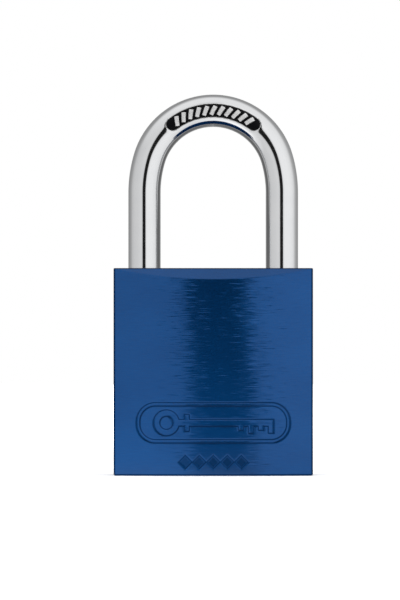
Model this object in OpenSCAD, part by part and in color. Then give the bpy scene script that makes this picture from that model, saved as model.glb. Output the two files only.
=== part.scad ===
// Safety padlock: a solid anodised body, a plated shackle, two spring-loaded locking
// bolts and a six-pin cylinder. Millimetres. The origin is the middle of the flat
// underside, +Z points up through the shackle and -Y is the front face.
// The lock is drawn shut, with the plug at its open angle and the bolts drawn back.

/* [Body] */
// Width across the flat sides
body_w = 40; // [39:0.5:44]
// Depth at the middle of the curved faces
body_d = 20; // [20:0.5:24]
// Height of the body
body_h = 41.6; // [41.2:0.2:46]
// How far the front and rear faces bulge past their corners
face_bulge = 2.05; // [1.5:0.05:3]
// Flat cut along each upright corner
corner_cut = 0.4; // [0.2:0.1:1]
// Half the depth of the flat top, where the two top chamfers begin
top_half_d = 7.8; // [7.4:0.1:7.9]

/* [Shackle] */
// Diameter of the shackle rod
rod_d = 6.5; // [6:0.1:6.6]
// Distance between the middles of the two legs
leg_pitch = 27.7; // [27.2:0.1:28]
// Clear height inside the loop, above the body
loop_h = 28.5; // [22:0.5:50]
// Bend radius of the crown, at the middle of the rod
crown_r = 13.4; // [13:0.1:13.6]
// How far the shackle rises when it opens
lift = 12; // [11.5:0.5:12]
// Depth of the sunk panel in the crown
panel_depth = 0.3; // [0.2:0.05:0.4]

/* [Cylinder] */
// Diameter of the turning plug
plug_d = 12; // [11.6:0.1:12]
// Diameter of the round part of the cylinder housing
housing_d = 16; // [15.6:0.1:16.4]
// Diameter of the pins
pin_d = 2.6; // [2.4:0.1:2.7]
// Distance from one pin to the next
pin_pitch = 3.5; // [3.3:0.1:3.5]
// Length of each driver pin
driver_len = 4; // [3.6:0.1:4.2]

/* [Locking bolts] */
// Diameter of the two locking bolts
bolt_d = 5; // [4.8:0.1:5]
// Distance from the plug's axis to each crank pin
crank_r = 1.8; // [1.7:0.05:1.8]

/* [Hidden] */

round_fn = 64;
coarse_fn = 48;
bend_fn = 90;
face_fn = 720;
over = 1;                      // how far a cutter runs past a face
slide_gap = 0.05;              // between a piece and the seat it slides or turns in

// Body outline
half_w = body_w / 2;
half_d = body_d / 2;
face_r = (half_w * half_w + face_bulge * face_bulge) / (2 * face_bulge);
edge_break = 0.35;             // small chamfer round the underside and along the top's ends

// Shackle path: a crown arc, then on each side a wider arc that runs into the leg. The
// arcs meet on a line that leaves the crown's centre along a 7-24-25 triangle's long side.
rod_r = rod_d / 2;
leg_x = leg_pitch / 2;
meet_run = 0.96;
meet_rise = 0.28;
flank_r = (leg_x - crown_r * meet_run) / (1 - meet_run);
crown_z = body_h + loop_h + rod_r - crown_r;
flank_z = crown_z - (flank_r - crown_r) * meet_rise;
leg_bore_r = rod_r + 0.2;

// Heights of the legs, their seats and the heel's neck
toe_end_z = 31;
toe_bore_z = toe_end_z - 1;
heel_end_z = 14;
heel_bore_z = 4;
foot_h = 3;
foot_chamfer = 0.5;
toe_chamfer = 0.6;
neck_r = 2.1;
stop_pin_r = 1.25;
stop_pin_z = heel_end_z + foot_h + lift + stop_pin_r;
neck_top_z = stop_pin_z + stop_pin_r + 0.35;

// Locking bolts and the chamber that they meet in
bolt_r = bolt_d / 2;
bolt_z = 36.2;
bolt_tip_x = leg_x - leg_bore_r + 0.05;     // tip of a drawn-back bolt
bolt_end_x = 2.4;                           // its inner end
notch_half_h = bolt_r + 0.15;
notch_floor = 0.7;                          // from the leg's axis to the notch's floor
bolt_bevel = 2.6;                           // side of the square cut off the bolt's nose
chamber_r = 7.5;
chamber_top_z = bolt_z + bolt_r + 0.2;
crank_pin_r = 0.8;
hook_z0 = 33.9;
hook_z1 = 35.3;
post_r = 1;
post_top_z = body_h - 1.2;

// Cylinder
plug_r = plug_d / 2;
housing_r = housing_d / 2;
lobe_r = 3.6;
lobe_x = 12.8;
face_z = 0.3;                               // height of the cylinder's face, inside the body
housing_top_z = 27;
housing_bore_z = 28.2;
flange_r = 6.8;
flange_h = 1;
clip_z = housing_top_z + 0.1;
clip_h = 0.7;
clip_r = 6.9;
clip_mouth_w = 4.4;
clip_groove = 0.7;                          // depth of the groove that the clip sits in
plug_top_z = 28.7;
tail_top_z = 31;
tail_l = 7;
tail_w = 2.4;
tail_slot_gap = 0.1;                        // round the tail in the cam's slot
cam_z0 = 29;
cam_z1 = 33.4;
cam_r = 6;
pin_r = pin_d / 2;
first_pin_z = 4.8;
key_pin_lens = [4.2, 3.6, 4.6, 3.9, 4.4, 3.4];
key_pin_floor = 0.6;                        // from the plug's axis to the seat of a key pin
shear_gap = 0.05;                           // from the plug's surface to the top of a key pin
key_pin_tip = 0.7;                          // height of a key pin's pointed end
key_pin_tip_r = 0.5;
driver_waist = 0.4;                         // depth of the waist of a waisted driver pin
driver_rim = 0.9;                           // length of its full ends
pin_spring_x0 = plug_r + slide_gap + shear_gap + driver_len;
cover_x = 14.6;
cover_t = 1;
cover_half_y = 1.8;
cover_margin = 1.6;
cover_gap = 0.02;
keyway_top_z = 24.5;
mouth_w = 3.1;                              // funnel at the keyway's mouth
mouth_x = -0.9;                             // its middle
mouth_l = 9.2;
mouth_h = 0.35;
screw_x = leg_x;
screw_head_z = 28.1;
screw_head_h = 1.6;
screw_head_r = 2.6;
screw_r = 1.45;
screw_socket_z = 28.7;
screw_end_z = 24.3;

// Springs: radius of the coil, radius of the wire and number of turns
shackle_coil = [2.5, 0.4, 8];
bolt_coil = [0.8, 0.17, 8];
pin_coil = [0.95, 0.15, 7];
bolt_spring_z = 37;
bolt_spring_hole_r = 1.15;
bolt_spring_len = 5.3;
spring_seat_gap = 0.05;

// Keyway outline in the plug's own XY plane: a slot with a rib and a groove down its sides
keyway_outline = [
    [-5.2, -1], [-2.6, -1], [-2.6, -0.45], [-1.2, -0.45],
    [-1.2, -1.35], [0.6, -1.35], [0.6, -1], [3.4, -1],
    [3.4, 1], [1.9, 1], [1.9, 0.45], [0.2, 0.45],
    [0.2, 1.35], [-1.6, 1.35], [-1.6, 1], [-5.2, 1]];

function pin_z(n) = first_pin_z + (n - 1) * pin_pitch;

// One wire swept along a coil whose first and last turns lie closed
function spring_rise(turn, turns, length, wire_r) =
    let (closed = 1, coiled = turns - 2 * closed,
         flat = 2 * wire_r * closed, open = length - 2 * wire_r - 2 * flat)
    turn < closed ? flat * turn / closed
    : turn > turns - closed ? flat + open + flat * (turn - turns + closed) / closed
    : flat + open * (turn - closed) / coiled;

function spring_ring(turn, turns, length, coil_r, wire_r, sides) =
    let (a = 360 * turn, z = wire_r + spring_rise(turn, turns, length, wire_r))
    [for (k = [0:sides - 1])
        let (b = 360 * (k + 0.5) / sides, r = coil_r + wire_r * cos(b))
        [r * cos(a), r * sin(a), z + wire_r * sin(b)]];

module spring(length, coil, steps, sides) {
    coil_r = coil[0];
    wire_r = coil[1];
    turns = coil[2];
    rings = turns * steps;
    points = [for (i = [0:rings])
        each spring_ring(i / steps, turns, length, coil_r, wire_r, sides)];
    skin = [for (i = [0:rings - 1], k = [0:sides - 1])
        let (a = i * sides + k, b = i * sides + (k + 1) % sides)
        each [[a, b, b + sides], [a, b + sides, a + sides]]];
    first = [[for (k = [sides - 1:-1:0]) k]];
    last = [[for (k = [0:sides - 1]) rings * sides + k]];
    polyhedron(points = points, faces = concat(skin, first, last), convexity = 10);
}

// Lays a shape that is drawn along +Z along +X instead
module along_x() rotate([0, 90, 0]) children();

// Cuts or fills a prism whose outline is drawn in the YZ plane, centred on X
module prism_x(length) rotate([90, 0, 90]) linear_extrude(length, center = true) children();

// A prism whose outline is drawn in the XZ plane, from y0 to y1
module prism_y(y0, y1)
    translate([0, y1, 0]) rotate([90, 0, 0]) linear_extrude(y1 - y0) children();

module body_block() {
    intersection() {
        linear_extrude(body_h) body_outline();
        for (s = [-1, 1]) translate([0, s * (face_r - half_d), 0])
            cylinder(r1 = face_r - edge_break, r2 = face_r - edge_break + body_h,
                     h = body_h, $fn = face_fn);
        prism_y(-half_d - over, half_d + over) polygon([
            [-half_w, edge_break],
            [-half_w + edge_break, 0],
            [half_w - edge_break, 0],
            [half_w, edge_break],
            [half_w, body_h - edge_break],
            [half_w - edge_break, body_h],
            [-half_w + edge_break, body_h],
            [-half_w, body_h - edge_break]]);
    }
}

module body_outline() {
    intersection() {
        translate([0, face_r - half_d]) circle(face_r, $fn = face_fn);
        translate([0, half_d - face_r]) circle(face_r, $fn = face_fn);
        square([body_w, body_d + over], center = true);
        rotate(45) square(sqrt(2) * (half_w + half_d - face_bulge - corner_cut), center = true);
    }
}

module top_chamfers() {
    for (s = [-1, 1]) prism_x(body_w + 2 * over)
        polygon([[s * top_half_d, body_h],
                 [s * (top_half_d + 5), body_h - 5],
                 [s * (top_half_d + 5), body_h + over],
                 [s * top_half_d, body_h + over]]);
}

module rounded_rect(w, h, r) {
    square([w, h - 2 * r], center = true);
    square([w - 2 * r, h], center = true);
    for (x = [-1, 1], y = [-1, 1])
        translate([x * (w / 2 - r), y * (h / 2 - r)]) circle(r, $fn = round_fn);
}

// Marks stamped into the front face: a label frame with a picture of a key, and a row of
// lozenges below it
frame_w = 30.8;
frame_h = 8.1;
frame_line = 0.7;
frame_corner = 3.8;
frame_z = 10.6;
key_bow_x = -9.4;
key_bow_r = 2.6;
key_bow_hole_r = 1.3;
key_end_x = 12.1;
key_stem_h = 1.4;
key_collar_x = -5.8;
key_collar_w = 1;
key_collar_h = 3.4;
key_teeth = 4;
key_tooth_w = 1.1;
key_tooth_pitch = 2;
key_tooth_h = 2.1;
key_tooth_step = 0.6;
lozenge_z = 2.75;
lozenge_side = 1.9;
lozenge_pitch = 2.8;
stamp_depth = 0.2;

module key_picture() {
    stem_x = key_bow_x + key_bow_r - 0.3;
    translate([key_bow_x, 0]) difference() {
        circle(key_bow_r, $fn = coarse_fn);
        circle(key_bow_hole_r, $fn = coarse_fn);
    }
    translate([stem_x, -key_stem_h / 2]) square([key_end_x - stem_x, key_stem_h]);
    translate([key_collar_x, -key_collar_h / 2]) square([key_collar_w, key_collar_h]);
    for (i = [0:key_teeth - 1])
        translate([key_end_x - key_tooth_w - key_tooth_pitch * i,
                   -key_tooth_h + key_tooth_step * (i % 2)])
            square([key_tooth_w, key_tooth_h]);
}

module stamped_marks() {
    difference() {
        prism_y(-half_d - over, -half_d + 3) {
            translate([0, frame_z]) difference() {
                rounded_rect(frame_w, frame_h, frame_corner);
                rounded_rect(frame_w - 2 * frame_line, frame_h - 2 * frame_line,
                             frame_corner - frame_line);
            }
            translate([0, frame_z]) key_picture();
            for (i = [-2:2]) translate([i * lozenge_pitch, lozenge_z])
                rotate(45) square(lozenge_side, center = true);
        }
        translate([0, face_r - half_d, -over])
            cylinder(r = face_r - stamp_depth, h = body_h + 2 * over, $fn = face_fn);
    }
}

// The cylinder's outline: a round part, up to round_top, and a lobe on its +X side
module cylinder_block(z0, lobe_top, round_top, gap) {
    lobe_h = lobe_top - z0;
    lobe_w = lobe_r + gap;
    translate([0, 0, z0]) {
        cylinder(r = housing_r + gap, h = round_top - z0, $fn = round_fn);
        translate([0, -lobe_w, 0]) cube([lobe_x, 2 * lobe_w, lobe_h]);
        translate([lobe_x, 0, 0]) cylinder(r = lobe_w, h = lobe_h, $fn = round_fn);
    }
}

module body() {
    color("#1f4a86") difference() {
        body_block();
        top_chamfers();
        stamped_marks();
        // leg bores
        translate([leg_x, 0, toe_bore_z]) cylinder(r = leg_bore_r, h = body_h, $fn = round_fn);
        translate([-leg_x, 0, heel_bore_z]) cylinder(r = leg_bore_r, h = body_h, $fn = round_fn);
        // seat of the cylinder and the chamber above it
        cylinder_block(-over, housing_top_z + slide_gap, housing_bore_z, slide_gap);
        cylinder(r = chamber_r, h = chamber_top_z, $fn = round_fn);
        // cross bore of the locking bolts, drilled in from the toe side
        translate([-leg_x, 0, bolt_z]) along_x()
            cylinder(r = bolt_r + slide_gap, h = leg_x + body_w, $fn = round_fn);
        // press-fit holes of the heel stop pin and of the bolt springs' post
        translate([-half_w - over, 0, stop_pin_z]) along_x()
            cylinder(r = stop_pin_r, h = half_w + over - leg_x, $fn = round_fn);
        translate([0, 0, bolt_z]) cylinder(r = post_r, h = post_top_z - bolt_z, $fn = round_fn);
        // cylinder screw, reached through the open toe bore
        translate([screw_x, 0, screw_head_z])
            cylinder(r = screw_head_r + 0.1, h = toe_bore_z - screw_head_z + over, $fn = round_fn);
        translate([screw_x, 0, housing_top_z]) cylinder(r = screw_r + 0.15, h = 2, $fn = round_fn);
    }
}

module side_bore_plug() {
    x0 = leg_x + leg_bore_r + 0.15;
    color("#1f4a86") translate([x0, 0, bolt_z]) along_x()
        cylinder(r = bolt_r + slide_gap, h = half_w - x0, $fn = round_fn);
}

module heel_stop_pin() {
    nose = 0.3;
    straight = half_w - leg_x - neck_r - 0.15 - nose;
    color("silver") translate([-half_w, 0, stop_pin_z]) along_x() {
        cylinder(r = stop_pin_r, h = straight, $fn = round_fn);
        translate([0, 0, straight])
            cylinder(r1 = stop_pin_r, r2 = stop_pin_r - nose, h = nose, $fn = round_fn);
    }
}

module bolt_spring_post() {
    z0 = hook_z1 + 0.3;
    color("silver") translate([0, 0, z0]) cylinder(r = post_r, h = post_top_z - z0, $fn = round_fn);
}

// The rod bent about a centre at the origin of the XZ plane, and cut to the outline given
module bent_rod(r, from, by) {
    intersection() {
        rotate([90, 0, 0]) rotate(from) rotate_extrude(angle = by, $fn = bend_fn)
            translate([r, 0]) circle(rod_r, $fn = coarse_fn);
        prism_y(-rod_d, rod_d) children();
    }
}

module chamfered_rod(r, z0, z1, cut) {
    translate([0, 0, z0]) cylinder(r1 = r - cut, r2 = r, h = cut, $fn = round_fn);
    translate([0, 0, z0 + cut]) cylinder(r = r, h = z1 - z0 - cut, $fn = round_fn);
}

// Sunk panel across the front of the crown, with slanted bars left standing in it
panel_half_w = 1.45;
panel_angle = 37;
panel_bars = 11;
panel_bar_w = 0.85;
panel_bar_h = 2.1;
panel_bar_pitch = 6.6;
panel_bar_slant = 25;

// Outline of one end of the panel, along and across the rod, in half widths of the panel
panel_end = [[0.15, -1.1], [0.7, -0.72], [1, -0.25], [1, 0.25], [0.7, 0.72], [0.15, 1.1], [0.1, 4]];
function on_crown(side, p) =
    let (a = side * (panel_angle + p[0] * panel_half_w / crown_r * 180 / PI),
         r = crown_r + p[1] * panel_half_w)
    [r * sin(a), r * cos(a)];
panel_reach = concat([[0, 0]],
    [for (i = [0:6]) on_crown(1, panel_end[i])],
    [for (i = [6:-1:0]) on_crown(-1, panel_end[i])]);

module crown_panel() {
    translate([0, 0, crown_z]) difference() {
        prism_y(-rod_r - over, -1.5) difference() {
            intersection() {
                difference() {
                    circle(crown_r + panel_half_w, $fn = bend_fn);
                    circle(crown_r - panel_half_w, $fn = bend_fn);
                }
                polygon(panel_reach);
            }
            for (i = [0:panel_bars - 1]) rotate((i - (panel_bars - 1) / 2) * panel_bar_pitch)
                translate([0, crown_r]) rotate(-panel_bar_slant)
                    square([panel_bar_w, panel_bar_h], center = true);
        }
        rotate([90, 0, 0]) rotate(45) rotate_extrude(angle = 90, $fn = bend_fn)
            translate([crown_r, 0]) circle(rod_r - panel_depth, $fn = coarse_fn);
    }
}

module notch(x, side)
    translate([x + side * notch_floor - (side < 0 ? rod_d : 0), -rod_d, bolt_z - notch_half_h])
        cube([rod_d, 2 * rod_d, 2 * notch_half_h]);

module shackle_arch() {
    far = 100;
    meet_x = far * meet_run;
    meet_z = far * meet_rise;
    translate([0, 0, crown_z]) bent_rod(crown_r, 0, 180)
        polygon([[0, 0], [meet_x, meet_z], [0, far], [-meet_x, meet_z]]);
    for (m = [0, 1]) mirror([m, 0, 0]) translate([leg_x - flank_r, 0, flank_z])
        bent_rod(flank_r, -5, 30) polygon([[0, 0], [far, 0], [meet_x, meet_z]]);
}

// The heel leg stays in the body: a full-size foot below a thinner neck
module heel_leg() {
    foot_top_z = heel_end_z + foot_h;
    translate([0, 0, neck_top_z]) cylinder(r = rod_r, h = flank_z - neck_top_z, $fn = round_fn);
    translate([0, 0, foot_top_z - 0.1])
        cylinder(r = neck_r, h = neck_top_z - foot_top_z + 0.2, $fn = round_fn);
    chamfered_rod(rod_r, heel_end_z, foot_top_z, foot_chamfer);
}

module shackle() {
    color("#d8dade") difference() {
        union() {
            shackle_arch();
            translate([leg_x, 0, 0]) chamfered_rod(rod_r, toe_end_z, flank_z, toe_chamfer);
            rotate(180) translate([leg_x, 0, 0]) heel_leg();
        }
        notch(leg_x, -1);
        notch(-leg_x, 1);
        crown_panel();
    }
}

module shackle_spring() {
    color("gray") translate([-leg_x, 0, heel_bore_z + spring_seat_gap])
        spring(heel_end_z - heel_bore_z - 2 * spring_seat_gap, shackle_coil, 14, 8);
}

module cylinder_housing() {
    color("#b8923a") difference() {
        cylinder_block(face_z, housing_top_z, housing_top_z, 0);
        translate([0, 0, -over]) cylinder(r = plug_r + slide_gap, h = body_h, $fn = round_fn);
        translate([0, 0, -over])
            cylinder(r = flange_r + slide_gap, h = over + face_z + flange_h + slide_gap, $fn = round_fn);
        for (n = [1:6]) translate([0, 0, pin_z(n)]) along_x()
            cylinder(r = pin_r + slide_gap, h = cover_x + 0.1, $fn = round_fn);
        // slot of the chamber cover, open to the outer end
        translate([cover_x, -cover_half_y, first_pin_z - cover_margin])
            cube([body_w, 2 * cover_half_y, 5 * pin_pitch + 2 * cover_margin]);
        // threaded hole of the cylinder screw
        translate([screw_x, 0, screw_end_z - 0.1])
            cylinder(r = screw_r + slide_gap, h = body_h, $fn = round_fn);
    }
}

module chamber_cover() {
    half_y = cover_half_y - cover_gap;
    margin = cover_margin - cover_gap;
    color("#c9a85a") translate([cover_x + cover_gap, -half_y, first_pin_z - margin])
        cube([cover_t, 2 * half_y, 5 * pin_pitch + 2 * margin]);
}

module cylinder_screw() {
    color("dimgray") translate([screw_x, 0, 0]) difference() {
        union() {
            translate([0, 0, screw_head_z + 0.02])
                cylinder(r = screw_head_r, h = screw_head_h, $fn = round_fn);
            translate([0, 0, screw_end_z])
                cylinder(r = screw_r, h = screw_head_z + 0.1 - screw_end_z, $fn = round_fn);
        }
        translate([0, 0, screw_socket_z]) cylinder(r = screw_r, h = 2, $fn = 6);
    }
}

// The plug and all it carries are drawn with the pins along +X, then turned to the open angle
module at_open_angle() rotate(90) children();

module plug() {
    color("#c2a14c") at_open_angle() difference() {
        union() {
            translate([0, 0, face_z]) cylinder(r = flange_r, h = flange_h, $fn = round_fn);
            translate([0, 0, face_z]) cylinder(r = plug_r, h = plug_top_z - face_z, $fn = round_fn);
            translate([-tail_l / 2, -tail_w / 2, plug_top_z - 0.1])
                cube([tail_l, tail_w, tail_top_z - plug_top_z + 0.1]);
        }
        // clip groove
        translate([0, 0, clip_z - slide_gap]) linear_extrude(clip_h + 2 * slide_gap) difference() {
            circle(plug_r + over, $fn = round_fn);
            circle(plug_r - clip_groove, $fn = round_fn);
        }
        // keyway and the funnel at its mouth
        translate([0, 0, -over]) linear_extrude(keyway_top_z + over) polygon(keyway_outline);
        translate([0, 0, face_z - over]) linear_extrude(over + mouth_h)
            translate([mouth_x, 0]) square([mouth_l, mouth_w], center = true);
        for (n = [1:6]) translate([key_pin_floor, 0, pin_z(n)]) along_x()
            cylinder(r = pin_r + slide_gap, h = plug_d, $fn = round_fn);
    }
}

module plug_clip() {
    color("dimgray") at_open_angle() translate([0, 0, clip_z]) linear_extrude(clip_h) difference() {
        circle(clip_r, $fn = round_fn);
        circle(plug_r - clip_groove + 0.02, $fn = round_fn);
        translate([0, -clip_r]) square([clip_mouth_w, 2 * clip_r], center = true);
    }
}

module drive_cam() {
    color("#8a8d92") difference() {
        union() {
            translate([0, 0, cam_z0]) cylinder(r = cam_r, h = cam_z1 - cam_z0, $fn = round_fn);
            for (s = [-1, 1]) translate([-s * crank_r * cos(45), s * crank_r * sin(45), cam_z1 - 0.1])
                cylinder(r = crank_pin_r, h = hook_z1 - cam_z1, $fn = coarse_fn);
        }
        at_open_angle() translate([0, 0, cam_z0 - over])
            linear_extrude(tail_top_z + tail_slot_gap - cam_z0 + over)
                square([tail_l + 2 * tail_slot_gap, tail_w + 2 * tail_slot_gap], center = true);
    }
}

// A bolt as it lies on the toe side: the nose points to +X and an arm at the rear reaches
// past the middle, where the crank pin pulls on its hook. The slot in the arm is long, so
// that a falling toe can push the bolt back while the cam stays put.
hook_gap = 0.08;
hook_x = -crank_r * cos(45) - crank_pin_r - hook_gap;
hook_end_x = -4;
step_end_x = -hook_end_x + 0.2;
arm_y0 = 0.45;
arm_y1 = 4.6;
arm_slot_y = crank_r + crank_pin_r + 0.2;
arm_root_x = 4.6;
lap_z = hook_z1 + 0.15;

module locking_bolt() {
    color("#9a9da3") difference() {
        union() {
            difference() {
                translate([bolt_end_x, 0, bolt_z]) along_x()
                    cylinder(r = bolt_r, h = bolt_tip_x - bolt_end_x, $fn = round_fn);
                // step that lets the other bolt's arm pass under this one
                translate([bolt_end_x - over, -bolt_d, hook_z0 - over])
                    cube([step_end_x - bolt_end_x + over, bolt_d + arm_y0, lap_z - hook_z0 + over]);
            }
            translate([0, 0, hook_z0]) linear_extrude(hook_z1 - hook_z0) polygon([
                [arm_root_x, arm_y0],
                [bolt_end_x - 0.1, arm_y0],
                [bolt_end_x - 0.1, arm_slot_y],
                [hook_x, arm_slot_y],
                [hook_x, arm_y0],
                [hook_end_x, arm_y0],
                [hook_end_x, arm_y1],
                [arm_root_x - 2, arm_y1],
                [arm_root_x, 2]]);
        }
        // bevel on the upper edge of the nose, which a falling toe pushes aside
        translate([bolt_tip_x, 0, bolt_z + bolt_r]) rotate([0, 45, 0])
            cube([bolt_bevel, bolt_d + over, bolt_bevel], center = true);
        // pocket of the bolt's spring
        translate([bolt_end_x - over, 0, bolt_spring_z]) along_x()
            cylinder(r = bolt_spring_hole_r, h = post_r + bolt_spring_len + 0.1 - bolt_end_x + over,
                     $fn = coarse_fn);
    }
}

module bolt_spring()
    color("gray") translate([post_r + spring_seat_gap, 0, bolt_spring_z]) along_x()
        spring(bolt_spring_len, bolt_coil, 10, 6);

module key_pin(n) {
    length = key_pin_lens[n - 1];
    color("#d0b060") at_open_angle() translate([plug_r - shear_gap - length, 0, pin_z(n)]) along_x() {
        cylinder(r1 = key_pin_tip_r, r2 = pin_r, h = key_pin_tip, $fn = round_fn);
        translate([0, 0, key_pin_tip]) cylinder(r = pin_r, h = length - key_pin_tip, $fn = round_fn);
    }
}

// Driver pins 2, 4 and 5 are waisted, against picking
module driver_pin(n) {
    waisted = n == 2 || n == 4 || n == 5;
    color("#c8c8c0") translate([plug_r + slide_gap + shear_gap, 0, pin_z(n)]) along_x() difference() {
        cylinder(r = pin_r, h = driver_len, $fn = round_fn);
        if (waisted) difference() {
            translate([0, 0, driver_rim])
                cylinder(r = pin_r + over, h = driver_len - 2 * driver_rim, $fn = round_fn);
            cylinder(r = pin_r - driver_waist, h = driver_len, $fn = round_fn);
        }
    }
}

module pin_spring(n)
    color("gray") translate([pin_spring_x0 + cover_gap, 0, pin_z(n)]) along_x()
        spring(cover_x - pin_spring_x0 - 2 * cover_gap, pin_coil, 10, 6);

body();
side_bore_plug();
heel_stop_pin();
bolt_spring_post();
shackle();
shackle_spring();
cylinder_housing();
chamber_cover();
cylinder_screw();
plug();
plug_clip();
drive_cam();
locking_bolt();  // toe_bolt
rotate(180) locking_bolt();  // heel_bolt
bolt_spring();  // toe_bolt_spring
rotate(180) bolt_spring();  // heel_bolt_spring
for (n = [1:6]) {
    key_pin(n);
    driver_pin(n);
    pin_spring(n);
}
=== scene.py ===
import math

import bpy
import numpy as np
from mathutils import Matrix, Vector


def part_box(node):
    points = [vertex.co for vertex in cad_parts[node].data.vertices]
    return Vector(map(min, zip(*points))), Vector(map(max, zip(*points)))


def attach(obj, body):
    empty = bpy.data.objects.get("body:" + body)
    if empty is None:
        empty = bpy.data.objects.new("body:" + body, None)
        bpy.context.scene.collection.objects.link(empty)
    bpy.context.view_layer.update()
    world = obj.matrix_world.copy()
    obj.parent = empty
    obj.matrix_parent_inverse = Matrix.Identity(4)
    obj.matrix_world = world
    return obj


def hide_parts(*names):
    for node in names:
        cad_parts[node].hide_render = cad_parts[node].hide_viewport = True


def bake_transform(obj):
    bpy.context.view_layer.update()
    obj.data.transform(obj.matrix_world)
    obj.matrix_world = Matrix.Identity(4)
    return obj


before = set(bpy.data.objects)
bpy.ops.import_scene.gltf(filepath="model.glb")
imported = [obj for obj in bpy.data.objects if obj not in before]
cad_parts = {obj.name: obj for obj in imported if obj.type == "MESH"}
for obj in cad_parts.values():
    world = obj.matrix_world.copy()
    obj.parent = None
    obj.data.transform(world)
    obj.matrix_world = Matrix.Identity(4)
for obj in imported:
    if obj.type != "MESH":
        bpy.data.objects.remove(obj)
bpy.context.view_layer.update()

# The looks of the safety padlock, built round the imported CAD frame. Shapes are worked out in
# millimetres and turned into metres when their mesh is made.
MM = 0.001


def box_mm(node):
    low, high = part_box(node)
    return np.array(low) / MM, np.array(high) / MM


# Sizes that the frame gives
body_low, body_high = box_mm("body")
rod_low, rod_high = box_mm("shackle")
HALF_W, HALF_D, BODY_H = body_high
ROD_R = rod_high[1]
LEG_X = rod_high[0] - ROD_R
SHACKLE_TOP = rod_high[2]
HEEL_END_Z = rod_low[2]

# Sizes that it doesn't give, as in the part's source
FACE_BULGE = 2.05
TOP_HALF_D = 7.8
CORNER_R = 0.4
UNDER_R = 0.35
TOP_R = 0.22
CROWN_R = 13.4
MEET_RUN, MEET_RISE = 0.96, 0.28
TOE_END_Z = 31.0
FOOT_TOP_Z = HEEL_END_Z + 3
NECK_R = 2.1
NECK_TOP_Z = 31.85
BOLT_Z = 36.2
BOLT_R = 2.55
NOTCH_HALF_H = 2.65
NOTCH_FLOOR = 0.7
TOE_CHAMFER, FOOT_CHAMFER = 0.6, 0.5

FACE_R = (HALF_W**2 + FACE_BULGE**2) / (2 * FACE_BULGE)
CROWN_Z = SHACKLE_TOP - ROD_R - CROWN_R
FLANK_R = (LEG_X - CROWN_R * MEET_RUN) / (1 - MEET_RUN)
FLANK_Z = CROWN_Z - (FLANK_R - CROWN_R) * MEET_RISE
MEET_ANGLE = math.atan2(MEET_RISE, MEET_RUN)


# ---------------------------------------------------------------- mesh helpers


def mesh_object(name, points_mm, faces, material=None):
    mesh = bpy.data.meshes.new(name)
    mesh.from_pydata((np.asarray(points_mm, float) * MM).tolist(), [], faces)
    mesh.update()
    obj = bpy.data.objects.new(name, mesh)
    bpy.context.scene.collection.objects.link(obj)
    if material:
        mesh.materials.append(material)
    return obj


def block(name, xs, ys, zs, material):
    """A closed box between two places on each axis."""
    x, y, z = np.meshgrid(xs, ys, zs, indexing="ij")
    corners = np.stack([x.ravel(), y.ravel(), z.ravel()], -1)
    faces = [[0, 1, 3, 2], [4, 6, 7, 5], [0, 4, 5, 1], [2, 3, 7, 6], [0, 2, 6, 4], [1, 5, 7, 3]]
    return mesh_object(name, corners, faces, material)


def tube_faces(rings, around):
    """Quads that join each ring of points to the next, and the two ends."""
    a = np.arange(rings - 1)[:, None] * around + np.arange(around)[None, :]
    b = np.arange(rings - 1)[:, None] * around + (np.arange(around) + 1)[None, :] % around
    quads = np.stack([a, b, b + around, a + around], axis=-1).reshape(-1, 4).tolist()
    return quads + [list(range(around))[::-1], list(range((rings - 1) * around, rings * around))]


def places(*stretches):
    """Places along a line, for stretches of (start, end, longest step)."""
    runs = []
    for start, end, step in stretches:
        count = max(1, math.ceil(abs(end - start) / step))
        runs.append(np.linspace(start, end, count + 1)[:-1])
    return np.concatenate(runs + [[stretches[-1][1]]])


def smooth_step(value, width):
    """0 below -width/2, 1 above width/2."""
    t = np.clip(value / width + 0.5, 0, 1)
    return t * t * (3 - 2 * t)


def carve(obj, cutters):
    """Cuts each closed cutter out of obj, and removes the cutters."""
    for cutter in cutters:
        cut = obj.modifiers.new("cut", "BOOLEAN")
        cut.operation = "DIFFERENCE"
        cut.solver = "MANIFOLD"
        cut.material_mode = "TRANSFER"
        cut.object = cutter
        graph = bpy.context.evaluated_depsgraph_get()
        carved = bpy.data.meshes.new_from_object(obj.evaluated_get(graph))
        obj.modifiers.clear()
        obj.data = carved
        bpy.data.objects.remove(cutter)


def vertices_mm(mesh):
    places_m = np.empty(len(mesh.vertices) * 3)
    mesh.vertices.foreach_get("co", places_m)
    return places_m.reshape(-1, 3) / MM


def set_values(mesh, name, values):
    """Stores a number for each vertex, for a material to read."""
    layer = mesh.attributes.new(name, "FLOAT", "POINT")
    layer.data.foreach_set("value", values.astype(np.float32))


def smooth_but_sharp(obj, angle):
    """Smooth shading, apart from edges that turn by more than angle degrees."""
    mesh = obj.data
    mesh.polygons.foreach_set("use_smooth", [True] * len(mesh.polygons))
    mesh.set_sharp_from_angle(angle=math.radians(angle))
    weighted = obj.modifiers.new("even normals", "WEIGHTED_NORMAL")
    weighted.keep_sharp = True


def lathe(name, profile, origin, axis, around, material):
    """A closed solid turned from (radius, height) points, standing on origin along an axis."""
    angles = 2 * math.pi * np.arange(around) / around
    circle_x, circle_y = np.cos(angles), np.sin(angles)
    rings = [
        np.stack([radius * circle_x, radius * circle_y, np.full(around, height)], -1)
        for radius, height in profile
    ]
    points = np.concatenate(rings)
    if axis == "x":
        points = points[:, [2, 0, 1]]
    return mesh_object(name, points + np.array(origin), tube_faces(len(profile), around), material)


# ---------------------------------------------------------------- materials


def new_material(name, **settings):
    """A material, its node tree and its Principled shader. settings are the shader's sockets."""
    material = bpy.data.materials.new(name)
    material.use_nodes = True
    tree = material.node_tree
    shader = tree.nodes["Principled BSDF"]
    for socket, value in settings.items():
        shader.inputs[socket.replace("_", " ")].default_value = value
    return material, tree, shader


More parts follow.
